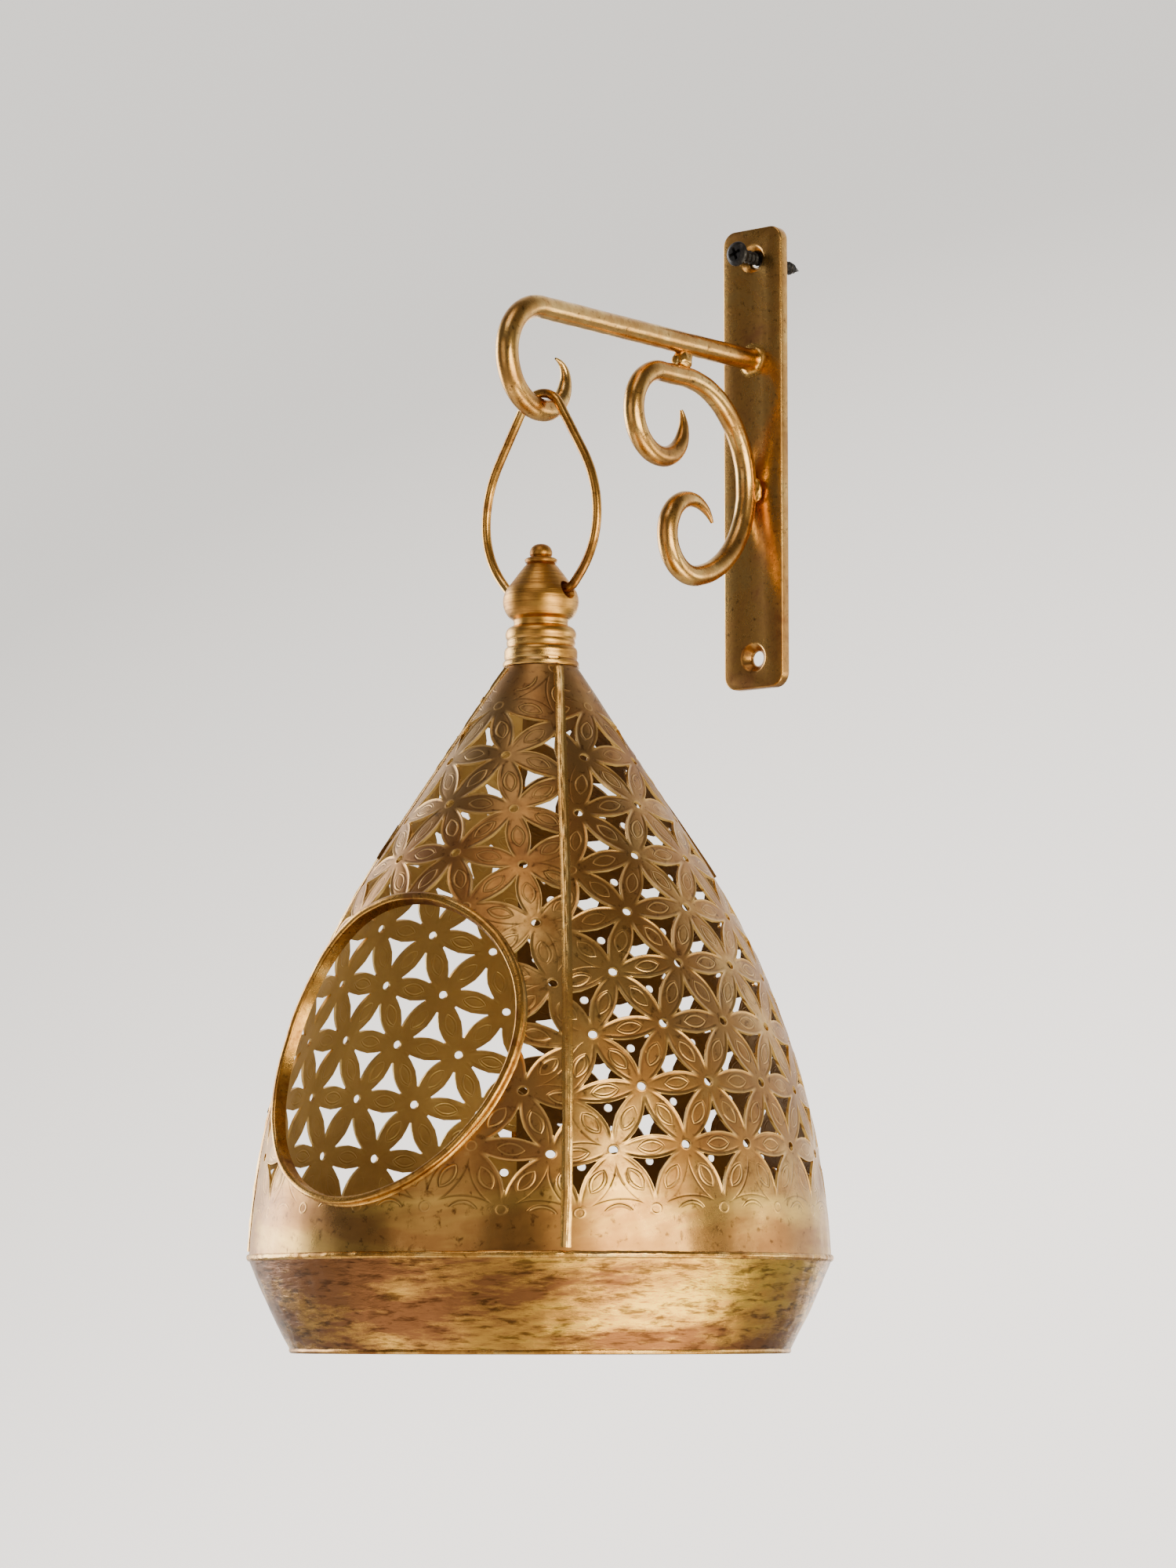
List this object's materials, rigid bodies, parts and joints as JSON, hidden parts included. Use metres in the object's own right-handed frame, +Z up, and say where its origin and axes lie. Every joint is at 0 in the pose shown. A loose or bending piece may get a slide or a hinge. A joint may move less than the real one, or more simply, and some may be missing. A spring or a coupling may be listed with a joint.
{
  "type": "hanging wall lantern",
  "caption": "Teardrop pierced-metal candle lantern hanging by a wire bail from a wall bracket with a hooked arm and scroll.",
  "frame": {"origin": "centre of the wall plate's back face, on the wall", "axes": "+Z up; the wall is the plane y = 0 and the object stands out towards -Y; +X to the right of somebody facing the wall"},
  "size_m": [0.1868, 0.2322, 0.3825],
  "materials": {
    "bracket_brass": "aged brass bar, satin with brighter edges",
    "solder": "soft bright solder rubbed to brass",
    "wire_brass": "drawn brass wire, slightly dull",
    "turned_brass": "lathe-turned brass with fine rings",
    "pierced_brass": "aged antique-brass sheet, mottled brown patina",
    "rim_brass": "rolled brass edge, rubbed bright",
    "band_brass": "aged brass band, mottled and lightly hammered",
    "inner_steel": "plain zinc-plated steel",
    "screw_black": "black phosphated screw"
  },
  "bodies": {
    "bracket": {"wall_plate": "bracket_brass", "arm_hook": "bracket_brass", "scroll_brace": "bracket_brass", "weld_arm_root": "solder", "weld_scroll_top": "solder", "weld_scroll_back": "solder", "wall_screw": "screw_black"},
    "bail": {"bail": "wire_brass"},
    "lantern": {"finial_button": "turned_brass", "finial_knob": "turned_brass", "collar_ring": "turned_brass", "collar_band": "turned_brass", "tie_stud": "inner_steel", "crown_washer": "inner_steel", "stud_nut": "inner_steel", "front_panel": "pierced_brass", "right_panel": "pierced_brass", "back_panel": "pierced_brass", "left_panel": "pierced_brass", "seam_front_right": "solder", "seam_back_right": "solder", "seam_back_left": "solder", "seam_front_left": "solder", "opening_rim": "rim_brass", "shoulder_bead": "rim_brass", "lower_band": "band_brass", "bottom_hem": "rim_brass", "base_plate": "band_brass", "candle_cup": "turned_brass", "cup_rivet": "inner_steel"}
  },
  "joints": [
    {"name": "bail_swing", "type": "hinge", "parent": "bracket", "child": "bail", "pos_m": [0, -0.1155, -0.0003], "axis": [0, 1, 0], "range_deg": [-25, 25]},
    {"name": "lantern_tilt", "type": "hinge", "parent": "bail", "child": "lantern", "pos_m": [0, -0.1155, -0.0596], "axis": [1, 0, 0], "range_deg": [-60, 6]}
  ]
}
